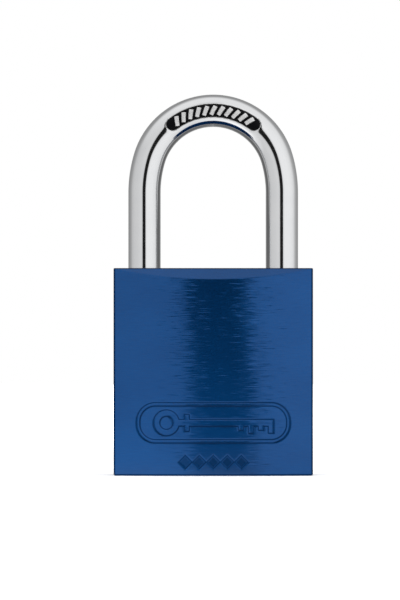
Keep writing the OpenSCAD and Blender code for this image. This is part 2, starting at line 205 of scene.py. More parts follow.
def add(tree, kind, inputs=(), **settings):
    """Adds a node. inputs are (socket, value or output to link)."""
    node = tree.nodes.new("ShaderNode" + kind)
    for key, value in settings.items():
        setattr(node, key, value)
    for socket, value in inputs:
        if isinstance(value, bpy.types.NodeSocket):
            tree.links.new(value, node.inputs[socket])
        else:
            node.inputs[socket].default_value = value
    return node


def mapped(tree, coordinate, scale):
    return add(tree, "Mapping", [("Vector", coordinate), ("Scale", scale)]).outputs[0]


def noise(tree, vector, scale, detail, rough=0.5):
    inputs = [("Vector", vector), ("Scale", scale), ("Detail", detail), ("Roughness", rough)]
    return add(tree, "TexNoise", inputs).outputs["Fac"]


def ranged(tree, value, low, high, from_low=0.0, from_high=1.0):
    """Turns from_low into low and from_high into high, and stays between them."""
    inputs = [("Value", value), (1, from_low), (2, from_high), (3, low), (4, high)]
    return add(tree, "MapRange", inputs).outputs[0]


def math_node(tree, operation, *values):
    return add(tree, "Math", list(enumerate(values)), operation=operation).outputs[0]


def two_tone(tree, factor, first, second):
    """The first colour where factor is 0 and the second where it is 1."""
    node = add(tree, "Mix", data_type="RGBA")
    tree.links.new(factor, node.inputs[0])
    for socket, colour in ((6, first), (7, second)):
        if isinstance(colour, bpy.types.NodeSocket):
            tree.links.new(colour, node.inputs[socket])
        else:
            node.inputs[socket].default_value = (*colour, 1)
    return node.outputs[2]


def bump(tree, height, distance_mm, strength, normal=None):
    inputs = [("Height", height), ("Distance", distance_mm * MM), ("Strength", strength)]
    if normal:
        inputs.append(("Normal", normal))
    return add(tree, "Bump", inputs).outputs[0]


DEEP_BLUE = (0.0015, 0.070, 0.262)
LIGHT_BLUE = (0.003, 0.092, 0.325)
# the colour of the body's deepest painted shade
PAINTED_SHADE_BLUE = (0.001, 0.008, 0.032)
COAT = 0.55
POLISHED = (0.82, 0.83, 0.85), (0.91, 0.915, 0.92)
ENAMEL = (0.001, 0.001, 0.002), (0.005, 0.005, 0.006)
SATIN = (0.97, 0.97, 0.97)
DRAWN = (0.22, 0.225, 0.24), (0.46, 0.46, 0.48)

# What most of one noise, and of the sum of two, lies between
MIDDLE = (0.3, 0.7)
MIDDLE_OF_TWO = (0.7, 1.3)

# How often the brushed grain changes for each mm along and across it
FINE_GRAIN = (0.34, 8.0, 1)
STROKE_GRAIN = (0.32, 6.5, 1)
CLOUD_GRAIN = (0.05, 0.09, 1)

# How far the brushed grain leans to the side: towards -X at two heights (in metres), outwards
# for each mm from the middle, from line to line, and in the deepest strokes
LEAN_LOW, LEAN_TOP = 0.0555, 0.0358
LEAN_HEIGHTS = (0.015, 0.038)
CURVE_LEAN = 0.0040
FINE_LEAN = 0.013
STROKE_LEAN = 0.12


def brush_slope(tree, uv, fine):
    """How far each brushed line leans along the brushing."""
    even = ranged(tree, fine, -FINE_LEAN, FINE_LEAN, 0.25, 0.75)
    strokes = noise(tree, mapped(tree, uv, STROKE_GRAIN), 1.0, 2.0)
    depth = ranged(tree, strokes, -1.0, 1.0, 0.26, 0.74)
    rare = math_node(tree, "MULTIPLY", depth, math_node(tree, "ABSOLUTE", depth))
    slope = math_node(tree, "MULTIPLY_ADD", rare, STROKE_LEAN, even)
    place = add(tree, "TexCoord").outputs["Object"]
    across, _, height = add(tree, "SeparateXYZ", [(0, place)]).outputs
    aside = ranged(tree, height, -LEAN_LOW, -LEAN_TOP, *LEAN_HEIGHTS)
    bowed = math_node(tree, "MULTIPLY_ADD", across, CURVE_LEAN / MM, aside)
    return math_node(tree, "ADD", slope, bowed)


def anodised(name):
    return new_material(name, Metallic=1.0, Roughness=0.28, Coat_Weight=COAT, Coat_Roughness=0.13)


def anodised_bore():
    """Blue anodised aluminium in the bores, plain apart from a fine grain."""
    material, tree, shader = anodised("anodised_bore")
    place = add(tree, "TexCoord").outputs["Object"]
    grain = noise(tree, place, 2500.0, 3.0)
    tree.links.new(two_tone(tree, grain, DEEP_BLUE, LIGHT_BLUE), shader.inputs["Base Color"])
    tree.links.new(bump(tree, grain, 0.004, 0.5), shader.inputs["Normal"])
    return material


def anodised_brushed():
    """Blue anodised aluminium, brushed along U of the 'brush' UV map, which is in mm. Where the
    'painted_shade' attribute is 1 the colour has its darkest painted shade and no coat."""
    material, tree, shader = anodised("anodised_brushed")
    shader.inputs["Anisotropic"].default_value = 1.0
    shader.inputs["Anisotropic Rotation"].default_value = 0.25
    uv = add(tree, "UVMap", uv_map="brush").outputs[0]
    fine = noise(tree, mapped(tree, uv, FINE_GRAIN), 1.0, 3.0, 0.6)
    cloud = noise(tree, mapped(tree, uv, CLOUD_GRAIN), 1.0, 2.0)
    shade = ranged(tree, math_node(tree, "ADD", fine, cloud), 0.0, 1.0, *MIDDLE_OF_TWO)
    colour = two_tone(tree, shade, DEEP_BLUE, LIGHT_BLUE)
    # Painted shade: where 'painted_shade' rises, the colour goes to a dark blue and the coat fades
    # away
    shade_amount = add(tree, "Attribute", attribute_name="painted_shade").outputs["Fac"]
    tree.links.new(two_tone(tree, shade_amount, colour, PAINTED_SHADE_BLUE), shader.inputs["Base Color"])
    tangent = add(tree, "Tangent", direction_type="UV_MAP", uv_map="brush").outputs[0]
    tree.links.new(tangent, shader.inputs["Tangent"])
    slope = brush_slope(tree, uv, fine)
    lean = add(tree, "VectorMath", [(0, tangent), ("Scale", slope)], operation="SCALE").outputs[0]
    normal = bump(tree, fine, 0.003, 0.4)
    leaning = add(tree, "VectorMath", [(0, normal), (1, lean)], operation="ADD").outputs[0]
    straight = add(tree, "VectorMath", [(0, leaning)], operation="NORMALIZE").outputs[0]
    tree.links.new(straight, shader.inputs["Normal"])
    tree.links.new(straight, shader.inputs["Coat Normal"])
    tree.links.new(ranged(tree, shade_amount, COAT, 0.0, 0.0, 0.7), shader.inputs["Coat Weight"])
    return material


def plated():
    """Polished plating with faint polishing marks. Where 'satin' is 1 it is dull and pale, and
    where 'paint' is 1 it is black enamel."""
    material, tree, shader = new_material("plated_steel", Specular_IOR_Level=0.08)
    place = add(tree, "TexCoord").outputs["Object"]
    paint = add(tree, "Attribute", attribute_name="paint").outputs["Fac"]
    satin = add(tree, "Attribute", attribute_name="satin").outputs["Fac"]
    haze = noise(tree, place, 260.0, 4.0, 0.6)
    marks = noise(tree, mapped(tree, place, (2500, 2500, 350)), 1.0, 3.0)
    metal = two_tone(tree, satin, two_tone(tree, haze, *POLISHED), SATIN)
    enamel = two_tone(tree, haze, *ENAMEL)
    tree.links.new(two_tone(tree, paint, metal, enamel), shader.inputs["Base Color"])
    tree.links.new(ranged(tree, paint, 1.0, 0.0), shader.inputs["Metallic"])
    mirror_rough = ranged(tree, haze, 0.05, 0.10, *MIDDLE)
    metal_rough = add(tree, "Mix", [(0, satin), (2, mirror_rough), (3, 0.55)]).outputs[0]
    enamel_rough = ranged(tree, marks, 0.35, 0.5)
    rough = add(tree, "Mix", [(0, paint), (2, metal_rough), (3, enamel_rough)]).outputs[0]
    tree.links.new(rough, shader.inputs["Roughness"])
    tree.links.new(bump(tree, marks, 0.0006, 0.35), shader.inputs["Normal"])
    return material


WAVE_TURN = 20       # how far a wave texture of scale 1 turns for each metre, in radians


def machined(name, dark, light, rough, ring_axis="z", turn_per_mm=6.0):
    """Turned metal: fine rings round an axis, blotches of tarnish and small scratches."""
    material, tree, shader = new_material(name, Metallic=1.0)
    place = add(tree, "TexCoord").outputs["Object"]
    blotch = noise(tree, place, 420.0, 5.0, 0.6)
    inputs = [("Vector", place), ("Scale", turn_per_mm / MM / WAVE_TURN)]
    inputs += [("Distortion", 1.5), ("Detail", 2.0), ("Detail Scale", 2.0)]
    direction = ring_axis.upper()
    rings = add(tree, "TexWave", inputs, wave_type="RINGS", rings_direction=direction).outputs["Fac"]
    scratch = noise(tree, mapped(tree, place, (9000, 900, 900)), 1.0, 2.0)
    tree.links.new(two_tone(tree, blotch, dark, light), shader.inputs["Base Color"])
    worn = math_node(tree, "ADD", blotch, scratch)
    worn_rough = ranged(tree, worn, rough - 0.08, rough + 0.10, *MIDDLE_OF_TWO)
    tree.links.new(worn_rough, shader.inputs["Roughness"])
    grooves = bump(tree, rings, 0.003, 0.4)
    tree.links.new(bump(tree, scratch, 0.002, 0.3, grooves), shader.inputs["Normal"])
    return material


def drawn_wire():
    """Spring wire with marks left by drawing and tempering."""
    material, tree, shader = new_material("spring_steel", Metallic=1.0)
    place = add(tree, "TexCoord").outputs["Object"]
    scale_mark = noise(tree, place, 900.0, 4.0, 0.6)
    tree.links.new(two_tone(tree, scale_mark, *DRAWN), shader.inputs["Base Color"])
    tree.links.new(ranged(tree, scale_mark, 0.24, 0.42), shader.inputs["Roughness"])
    tree.links.new(bump(tree, scale_mark, 0.004, 0.3), shader.inputs["Normal"])
    return material


ANODISED = anodised_brushed()
ANODISED_BORE = anodised_bore()
PLATED = plated()
BRASS = machined("brass", (0.55, 0.37, 0.13), (0.80, 0.59, 0.27), 0.30)
BRASS_PIN = machined("brass_pin", (0.60, 0.42, 0.17), (0.84, 0.64, 0.31), 0.24, "y", 8.0)
STEEL = machined("steel", (0.40, 0.41, 0.43), (0.62, 0.63, 0.65), 0.32)
STEEL_BOLT = machined("bolt_steel", (0.46, 0.47, 0.49), (0.66, 0.67, 0.69), 0.26, "x", 5.0)
NICKEL = machined("pin_metal", (0.58, 0.55, 0.48), (0.78, 0.75, 0.67), 0.24, "x", 8.0)
WIRE = drawn_wire()


# ---------------------------------------------------------------- body

# Marks stamped into the front, in mm across and up the face
LABEL_Z = 10.6
LABEL_HALF = (15.4, 4.05)
LABEL_CORNER = 3.8
LABEL_LINE = 0.7
KEY_BOW = (-9.4, 1.95, 0.65)     # place along X, radius and half thickness of the ring
KEY_END_X = 12.1
KEY_STEM_HALF = 0.7
KEY_COLLAR_X = -5.3
KEY_COLLAR_HALF = (0.5, 1.7)
KEY_TEETH = 4
TOOTH_HALF_W, TOOTH_PITCH = 0.55, 2
TOOTH_REACH, TOOTH_STEP = 2.1, 0.6       # of a long tooth, and what each second one is short of it
KEY_CORNER = 0.1
LOZENGES_EACH_SIDE = 2
LOZENGE_Z = 2.75
LOZENGE_HALF = 1.34
LOZENGE_PITCH = 2.8
STAMP_DEPTH = 0.2
STAMP_WALL = 0.48
# How much painted shade darkens the stamped marks' walls, the lozenges' hollows, the body's edges
# and its flat top
WALL_SHADE, LOZENGE_SHADE, EDGE_SHADE, TOP_SHADE = 0.75, 0.4, 0.7, 0.78
EDGE_W = 0.3                     # how far in from the body's edges the painted shade reaches
ON_FACE = 0.02                   # a point this near the flat top or underside lies on it

# The body's mesh: how sharply the chamfer meets the faces, and the longest steps
CHAMFER_BLEND = 0.16
FINE_HALF_W = 16
FINE_STEP, COARSE_STEP = 0.1, 0.45
SIDE_STEP = 1.4
CORNER_STEP = 15                 # in degrees

# U and V that keep the grain of the sides and of the flat top apart from that of the front
SIDE_SHIFT, LEVEL_SHIFT = 50, 100

# Bores and hollows inside the body, as in the part's source, with the play round what they hold
OVER = 2                         # how far a cutter runs past a face
LEG_BORE_R = ROD_R + 0.2
MOUTH_FLARE = 0.2
TOE_BORE_Z, HEEL_BORE_Z = 30.0, 4.0
SEAT_R, SEAT_TOP_Z = 8.05, 28.2
LOBE_X, LOBE_R, LOBE_TOP_Z = 12.8, 3.65, 27.05
SEAT_CHAMFER = 0.15
CHAMBER_R, CHAMBER_TOP_Z = 7.5, 38.9
STOP_PIN_R, STOP_PIN_Z = 1.25, 30.25
POST_R, POST_TOP_Z = 1.0, BODY_H - 1.2
SCREW_HEAD_R, SCREW_HEAD_Z = 2.7, 28.1
SCREW_R = 1.6


def box_distance(x, z, centre, half, corner=0.0):
    """Distance from the edge of a rounded box, below 0 inside it."""
    dx = np.abs(x - centre[0]) - (half[0] - corner)
    dz = np.abs(z - centre[1]) - (half[1] - corner)
    outside = np.hypot(np.maximum(dx, 0), np.maximum(dz, 0))
    return outside + np.minimum(np.maximum(dx, dz), 0) - corner


def stamp_distance(x, z):
    """Distance from the nearest stamped mark's edge, below 0 inside a mark."""
    edge = box_distance(x, z, (0, LABEL_Z), LABEL_HALF, LABEL_CORNER)
    marks = [np.abs(edge + LABEL_LINE / 2) - LABEL_LINE / 2]
    bow_x, bow_r, bow_half = KEY_BOW
    marks.append(np.abs(np.hypot(x - bow_x, z - LABEL_Z) - bow_r) - bow_half)
    stem_start = bow_x + bow_r
    stem_centre = ((stem_start + KEY_END_X) / 2, LABEL_Z)
    stem_half = ((KEY_END_X - stem_start) / 2, KEY_STEM_HALF)
    marks.append(box_distance(x, z, stem_centre, stem_half, KEY_CORNER))
    marks.append(box_distance(x, z, (KEY_COLLAR_X, LABEL_Z), KEY_COLLAR_HALF, KEY_CORNER))
    for tooth in range(KEY_TEETH):
        low = -TOOTH_REACH + TOOTH_STEP * (tooth % 2)
        centre = (KEY_END_X - TOOTH_HALF_W - TOOTH_PITCH * tooth, LABEL_Z + low / 2)
        marks.append(box_distance(x, z, centre, (TOOTH_HALF_W, -low / 2), KEY_CORNER))
    for step in range(-LOZENGES_EACH_SIDE, LOZENGES_EACH_SIDE + 1):
        across = np.abs(x - step * LOZENGE_PITCH) + np.abs(z - LOZENGE_Z)
        marks.append((across - LOZENGE_HALF) / math.sqrt(2))
    return np.minimum.reduce(marks)


def soft_min(a, b, width):
    """The lesser of a and b, rounded off where they differ by less than width."""
    blend = np.maximum(width - np.abs(a - b), 0) / width
    return np.minimum(a, b) - blend * blend * width / 4


def face_depth(x, z):
    """Half the body's depth, at x and height z, with the 45 degree chamfer at its top."""
    bulged = HALF_D - FACE_R + np.sqrt(FACE_R**2 - x**2)
    return soft_min(bulged, TOP_HALF_D + BODY_H - z, CHAMFER_BLEND)


def edge_inset(z):
    """How far the outline draws in at the rounded lower and upper edges."""
    under = np.clip(UNDER_R - z, 0, UNDER_R)
    over = np.clip(TOP_R - (BODY_H - z), 0, TOP_R)
    return (UNDER_R - np.sqrt(UNDER_R**2 - under**2)) + (TOP_R - np.sqrt(TOP_R**2 - over**2))


def body_outline(z):
    """Points round the body at height z, from the front's left end."""
    inset = edge_inset(z)
    end_x = HALF_W - CORNER_R
    front_x = places(
        (-end_x, -FINE_HALF_W, COARSE_STEP),
        (-FINE_HALF_W, FINE_HALF_W, FINE_STEP),
        (FINE_HALF_W, end_x, COARSE_STEP),
    )
    back_x = places((end_x, -end_x, COARSE_STEP))
    end_depth = face_depth(end_x, z)
    front_y = -face_depth(front_x, z) + inset
    front_y = front_y + STAMP_DEPTH * smooth_step(-stamp_distance(front_x, z), STAMP_WALL)
    side_y = places((-end_depth + CORNER_R, end_depth - CORNER_R, SIDE_STEP))[1:-1]
    side_x = np.full(len(side_y), HALF_W - inset)
    turn = np.radians(places((0, 90, CORNER_STEP)))[1:]

    def corner(sx, sy):
        out = CORNER_R - inset
        x = sx * end_x + sx * out * np.sin(turn)
        y = sy * (end_depth - CORNER_R) + sy * out * np.cos(turn)
        return np.stack([x, y], -1)

    return np.concatenate([
        np.stack([front_x, front_y], -1),
        corner(1, -1),
        np.stack([side_x, side_y], -1),
        corner(1, 1)[::-1],
        np.stack([back_x, face_depth(back_x, z) - inset], -1),
        corner(-1, 1),
        np.stack([-side_x, -side_y], -1),
        corner(-1, -1)[::-1],
    ])


def body_block():
    """The body's outside, as rings of points from the underside to the top."""
    marks_bottom, marks_top = 1.0, LABEL_Z + LABEL_HALF[1] + 0.4
    chamfer_z = BODY_H - 2.5
    heights = places(
        (0, UNDER_R, 0.06),
        (UNDER_R, marks_bottom, 0.5),
        (marks_bottom, marks_top, FINE_STEP),
        (marks_top, chamfer_z, 1.2),
        (chamfer_z, BODY_H - TOP_R, 0.09),
        (BODY_H - TOP_R, BODY_H, 0.045),
    )
    rings = []
    for z in heights:
        outline = body_outline(z)
        rings.append(np.column_stack([outline, np.full(len(outline), z)]))
    faces = tube_faces(len(rings), len(rings[0]))
    shell = mesh_object("body_shell", np.concatenate(rings), faces, ANODISED)
    add_brush_map(shell.data)
    return shell


def add_brush_map(mesh):
    """UV in mm: on a wall U runs level and V up, on a flat top or bottom U runs along X."""
    layer = mesh.uv_layers.new(name="brush")
    corners = np.empty(len(mesh.loops), np.int32)
    mesh.loops.foreach_get("vertex_index", corners)
    normals = np.empty(len(mesh.polygons) * 3)
    mesh.polygons.foreach_get("normal", normals)
    totals = np.empty(len(mesh.polygons), np.int32)
    mesh.polygons.foreach_get("loop_total", totals)
    facing = np.abs(np.repeat(normals.reshape(-1, 3), totals, axis=0))
    x, y, z = vertices_mm(mesh)[corners].T
    level = facing[:, 2] > 0.8
    sideways = (facing[:, 0] > 0.8) & ~level
    u = np.where(sideways, y + SIDE_SHIFT, x)
    v = np.where(level, y + LEVEL_SHIFT, z)
    layer.data.foreach_set("uv", np.stack([u, v], -1).ravel())


def bore(profile, origin=(0, 0, 0), axis="z", around=72):
    return lathe("cut", profile, origin, axis, around, ANODISED_BORE)


def straight_bore(radius, start, end, **where):
    return bore([(radius, start), (radius, end)], **where)


def leg_bore(x, floor_z):
    """A leg's bore, with a small flare at its mouth."""
    flared = LEG_BORE_R + MOUTH_FLARE
    mouth = [(LEG_BORE_R, BODY_H - MOUTH_FLARE), (flared, BODY_H), (flared, BODY_H + OVER)]
    return bore([(LEG_BORE_R, floor_z)] + mouth, (x, 0, 0))


def cylinder_seat(radius, top_z, x, around):
    """A round seat that opens at the underside, with a chamfer at its mouth."""
    wide = radius + SEAT_CHAMFER
    profile = [(wide, -OVER), (wide, 0), (radius, SEAT_CHAMFER), (radius, top_z)]
    return bore(profile, (x, 0, 0), around=around)


def body_cutters():
    """The body's bores and hollows. Some start or end inside a wider one."""
    toe = (LEG_X, 0, 0)
    chamber_z, post_z, head_top_z, shank_z, shank_top_z = 20, 37, 33, 26, 29
    bolts, stop_pin = (0, 0, BOLT_Z), (0, 0, STOP_PIN_Z)
    pin_end_x = -LEG_X - ROD_R + 0.4
    return [
        leg_bore(LEG_X, TOE_BORE_Z),
        leg_bore(-LEG_X, HEEL_BORE_Z),
        cylinder_seat(SEAT_R, SEAT_TOP_Z, 0, 120),
        cylinder_seat(LOBE_R, LOBE_TOP_Z, LOBE_X, 72),
        straight_bore(CHAMBER_R, chamber_z, CHAMBER_TOP_Z),
        straight_bore(BOLT_R, -LEG_X, HALF_W + OVER, origin=bolts, axis="x"),
        straight_bore(STOP_PIN_R, -HALF_W - OVER, pin_end_x, origin=stop_pin, axis="x"),
        straight_bore(POST_R, post_z, POST_TOP_Z, around=32),
        straight_bore(SCREW_HEAD_R, SCREW_HEAD_Z, head_top_z, origin=toe),
        straight_bore(SCREW_R, shank_z, shank_top_z, origin=toe, around=40),
        block("cut", (0, LOBE_X), (-LOBE_R, LOBE_R), (-OVER, LOBE_TOP_Z), ANODISED_BORE),
    ]


def add_painted_shade(mesh):
    """Paints shade into the body's colour: darker on the walls of the stamped marks, in the
    lozenges' hollows, along the edges and on the flat top."""
    x, y, z = vertices_mm(mesh).T
    in_front = y < -TOP_HALF_D
    stamped = smooth_step(-stamp_distance(x, z), STAMP_WALL)
    walls = 4 * stamped * (1 - stamped) * in_front
    lozenge_shade = LOZENGE_SHADE * stamped * (z < LOZENGE_Z + LOZENGE_HALF) * in_front
    near_corner = (np.abs(x) > HALF_W - EDGE_W) & (np.abs(y) > TOP_HALF_D - EDGE_W)
    lower_edge = (z > ON_FACE) & (z < EDGE_W)
    upper_edge = (z > BODY_H - TOP_R) & (z < BODY_H - ON_FACE)
    rim = EDGE_SHADE * (near_corner | lower_edge | upper_edge)
    top = TOP_SHADE * (z > BODY_H - ON_FACE)
    set_values(mesh, "painted_shade", np.maximum.reduce([WALL_SHADE * walls, lozenge_shade, rim, top]))


body = body_block()
carve(body, body_cutters())
add_painted_shade(body.data)
smooth_but_sharp(body, 28)
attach(body, "body")
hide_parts("body")


# ---------------------------------------------------------------- shackle

# The sunk panel across the front of the crown, in mm along and across the rod
PANEL_HALF_W = 1.45
PANEL_ANGLE = math.radians(37)
PANEL_DEPTH = 0.3
PANEL_WALL = 0.12
PANEL_LIP = (0.04, 0.4)        # depth and width of the soft lip round the panel
PANEL_BARS = 11
BAR_PITCH = math.radians(6.6)
BAR_HALF = (0.425, 1.05)
BAR_CORNER = 0.12
BAR_SLANT = math.radians(25)

# The rod's mesh: the longest steps along it, in mm on the legs and in radians on the bends, and
# round it in radians. Where the panel is, the steps are as many mm as PANEL_STEP says.
LEG_STEP, FLANK_STEP, CROWN_STEP = 0.8, 0.02, 0.035
TURN_STEP = 0.075
PANEL_STEP = 0.075


def rod_path():
    """Stations along the rod's middle, from the toe's end over the crown to the heel's end. Each has
    its place in XZ, the outward direction in XZ, the rod's radius and, on the crown, the angle from
    its top."""
    stations = []

    def leg(side, heights, radii):
        for z, radius in zip(heights, radii):
            stations.append(((side * LEG_X, z), (side, 0), radius, None))

    def bend(cx, cz, radius, angles, crown):
        for a in angles:
            out = (math.cos(a), math.sin(a))
            place = (cx + radius * out[0], cz + radius * out[1])
            stations.append((place, out, ROD_R, math.pi / 2 - a if crown else None))

    leg(1, [TOE_END_Z, TOE_END_Z + TOE_CHAMFER], [ROD_R - TOE_CHAMFER, ROD_R])
    straight = places((TOE_END_Z + TOE_CHAMFER, FLANK_Z, LEG_STEP))[1:]
    leg(1, straight, [ROD_R] * len(straight))
    flank_x = LEG_X - FLANK_R
    bend(flank_x, FLANK_Z, FLANK_R, places((0, MEET_ANGLE, FLANK_STEP))[1:], False)
    reach = PANEL_ANGLE + PANEL_HALF_W / CROWN_R + 0.02
    top = math.pi / 2
    crown_angles = places(
        (MEET_ANGLE, top - reach, CROWN_STEP),
        (top - reach, top + reach, PANEL_STEP / CROWN_R),
        (top + reach, math.pi - MEET_ANGLE, CROWN_STEP),
    )
    bend(0, CROWN_Z, CROWN_R, crown_angles[1:], True)
    bend(-flank_x, FLANK_Z, FLANK_R, places((math.pi - MEET_ANGLE, math.pi, FLANK_STEP))[1:], False)
    straight = places((FLANK_Z, NECK_TOP_Z, LEG_STEP))[1:]
    leg(-1, straight, [ROD_R] * len(straight))
    leg(-1, [NECK_TOP_Z, FOOT_TOP_Z, FOOT_TOP_Z], [NECK_R, NECK_R, ROD_R])
    leg(-1, [HEEL_END_Z + FOOT_CHAMFER, HEEL_END_Z], [ROD_R, ROD_R - FOOT_CHAMFER])
    return stations


def panel_depth(u, v):
    """The sunk panel at u along and v across the rod, with slanted bars left standing in it: its
    depth in mm, and from 0 to 1 how far a point is sunk and how far it is inside the outline."""
    half_length = PANEL_ANGLE * CROWN_R
    ends = np.maximum(np.abs(u) - half_length, 0)
    inside = smooth_step(PANEL_HALF_W - np.hypot(ends, v), PANEL_WALL)
    bars = []
    for bar in range(PANEL_BARS):
        along = u - (bar - (PANEL_BARS - 1) / 2) * BAR_PITCH * CROWN_R
        a = along * math.cos(BAR_SLANT) - v * math.sin(BAR_SLANT)
        b = along * math.sin(BAR_SLANT) + v * math.cos(BAR_SLANT)
        bars.append(box_distance(a, b, (0, 0), BAR_HALF, BAR_CORNER))
    lip_depth, lip_w = PANEL_LIP
    lip = smooth_step(PANEL_HALF_W + lip_w / 2 - np.hypot(ends, v), lip_w)
    sunk = inside * (1 - smooth_step(-np.minimum.reduce(bars), PANEL_WALL))
    return PANEL_DEPTH * sunk + lip_depth * lip, sunk, inside


def shackle_rod():
    """The plated rod, with fine steps round its front, where the panel is."""
    edge = math.asin(PANEL_HALF_W / ROD_R) + 0.05
    turn = places((-edge, edge, PANEL_STEP / ROD_R), (edge, 2 * math.pi - edge, TURN_STEP))[:-1]
    ring_y, ring_out = -np.cos(turn), np.sin(turn)
    points, paint, satin = [], [], []
    for (x, z), (out_x, out_z), radius, crown in rod_path():
        radii = np.full(len(turn), radius)
        cover, inside = np.zeros(len(turn)), np.zeros(len(turn))
        if crown is not None:
            depth, sunk, inside = panel_depth(crown * CROWN_R, radius * ring_out)
            in_front = ring_y < 0
            radii = radii - depth * in_front
            cover = smooth_step(sunk - 0.5, 0.5) * in_front
            inside = inside * in_front
        out = radii * ring_out
        points.append(np.stack([x + out * out_x, radii * ring_y, z + out * out_z], -1))
        paint.append(cover)
        satin.append(inside)
    faces = [face[::-1] for face in tube_faces(len(points), len(turn))]
    rod = mesh_object("shackle_rod", np.concatenate(points), faces, PLATED)
    set_values(rod.data, "paint", np.concatenate(paint))
    set_values(rod.data, "satin", np.concatenate(satin))
    return rod


def notch_cutter(side):
    """Cuts the notch that a bolt locks into, on the inner side of a leg."""
    floor_x, open_x = side * (LEG_X - NOTCH_FLOOR), side * (LEG_X - 2 * ROD_R)
    heights = (BOLT_Z - NOTCH_HALF_H, BOLT_Z + NOTCH_HALF_H)
    return block("cut", sorted((floor_x, open_x)), (-2 * ROD_R, 2 * ROD_R), heights, PLATED)


shackle = shackle_rod()
carve(shackle, [notch_cutter(1), notch_cutter(-1)])
smooth_but_sharp(shackle, 32)
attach(shackle, "shackle")
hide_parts("shackle")


# ---------------------------------------------------------------- springs


ALONG_X, ALONG_Z = 0, 2
COIL_STEPS, WIRE_SIDES = 20, 10      # steps in each turn, and points round the wire


def coil_spring(node, axis, turns, wire_r, moves_at_high_end):
    """A wire coil in the space that the CAD spring holds. Its first and last turns are
    closed."""
    low, high = box_mm(node)
    centre = (low + high) / 2
    across = [i for i in range(3) if i != axis]
    coil_r = (high[across[0]] - low[across[0]]) / 2 - wire_r
    t = np.arange(turns * COIL_STEPS + 1) / COIL_STEPS
    length = high[axis] - low[axis]
    closed_ends = [0, 2 * wire_r, length - 4 * wire_r, length - 2 * wire_r]
    rise = np.interp(t, [0, 1, turns - 1, turns], closed_ends)
    around = 2 * math.pi * (np.arange(WIRE_SIDES) + 0.5) / WIRE_SIDES
    radius = coil_r + wire_r * np.cos(around)[None, :]
    angle = 2 * math.pi * t[:, None]
    points = np.empty((len(t), WIRE_SIDES, 3))
    points[..., axis] = low[axis] + wire_r + rise[:, None] + wire_r * np.sin(around)[None, :]
    points[..., across[0]] = centre[across[0]] + radius * np.cos(angle)
    points[..., across[1]] = centre[across[1]] + radius * np.sin(angle)
    coil = mesh_object(node + "_wire", points.reshape(-1, 3), tube_faces(len(t), WIRE_SIDES), WIRE)
    coil.data.polygons.foreach_set("use_smooth", [True] * len(coil.data.polygons))
    ends = [centre.copy(), centre.copy()]
    ends[0][axis], ends[1][axis] = low[axis], high[axis]
    if not moves_at_high_end:
        ends.reverse()
    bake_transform(coil)
    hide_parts(node)


PINS = range(1, 7)
coil_spring("shackle_spring", ALONG_Z, 8, 0.4, moves_at_high_end=True)
coil_spring("toe_bolt_spring", ALONG_X, 8, 0.17, moves_at_high_end=True)
coil_spring("heel_bolt_spring", ALONG_X, 8, 0.17, moves_at_high_end=False)
for pin in PINS:
    coil_spring(f"pin_spring_{pin}", ALONG_X, 7, 0.15, moves_at_high_end=False)


# ---------------------------------------------------------------- CAD nodes that stay


def finish_node(name, material):
    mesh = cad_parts[name].data
    mesh.materials.clear()
    mesh.materials.append(material)


finish_node("side_bore_plug", ANODISED_BORE)
for name in ("heel_stop_pin", "bolt_spring_post", "cylinder_screw", "plug_clip", "drive_cam"):
    finish_node(name, STEEL)
for name in ("heel_bolt", "toe_bolt"):
    finish_node(name, STEEL_BOLT)
for name in ("cylinder_housing", "chamber_cover", "plug"):
    finish_node(name, BRASS)
for pin in PINS:
    finish_node(f"key_pin_{pin}", BRASS_PIN)
    finish_node(f"driver_pin_{pin}", NICKEL)


# ---------------------------------------------------------------- stage

FLOOR_DROP = 0.05              # the floor lies this far below the padlock, in mm
FLOOR_HALF = 1500              # half its width, in mm

# What polished metal sees of the floor. Distances along X, along Y and from the middle, in metres.
FLOOR_FRONT, FLOOR_BACK = 0.85, 0.30
FRONT_TO_BACK_Y = (-0.012, 0.006)
NEAR_LEFT, NEAR_RIGHT = 0.45, -0.15      # added close by in front, on either side
LEFT_TO_RIGHT_X = (-0.04, 0.03)
NEAR_TO_FAR = (0.03, 0.08)
NEAR_FRONT_Y = (-0.012, 0.0)
MEETS_TENT = (0.07, 0.14)                # from here to here it takes the tent's brightness

# The glow that the camera sees on it, and the distances between which that comes up
CAMERA_GLOW, GLOW_REACH = (0.0, 1.1), (0.15, 0.6)

# Brightness of the tent round the horizon, by azimuth from -Y towards +X in degrees
TENT = [
    (-180, 0.30), (-130, 0.30), (-110, 0.40), (-96, 0.56), (-76, 0.64), (-45, 0.68), (-26, 0.72),
    (-14.6, 0.65), (-13.2, 0.012), (7.4, 0.012), (9.0, 0.79), (20, 0.91), (55, 0.91), (80, 0.84),
    (96, 0.70), (106, 0.50), (120, 0.37), (140, 0.32), (180, 0.30),
]
TENT_TOP = 0.85
TOP_SHARE = (0.35, 0.85)       # heights between which the tent takes its top's brightness


def tent_level(tree, x, y):
    """The tent's brightness in the direction of x, y."""
    forward = math_node(tree, "MULTIPLY", y, -1.0)
    azimuth = math_node(tree, "ARCTAN2", x, forward)
    share = ranged(tree, azimuth, 0.0, 1.0, -math.pi, math.pi)
    ramp = add(tree, "ValToRGB", [(0, share)])
    stops = ramp.color_ramp.elements
    for degrees, level in TENT:
        place = (degrees + 180) / 360
        # the ramp has its first and last stops from the start
        stop = {0.0: stops[0], 1.0: stops[-1]}.get(place) or stops.new(place)
        stop.color = (level, level, level, 1)
    return ramp.outputs[0]


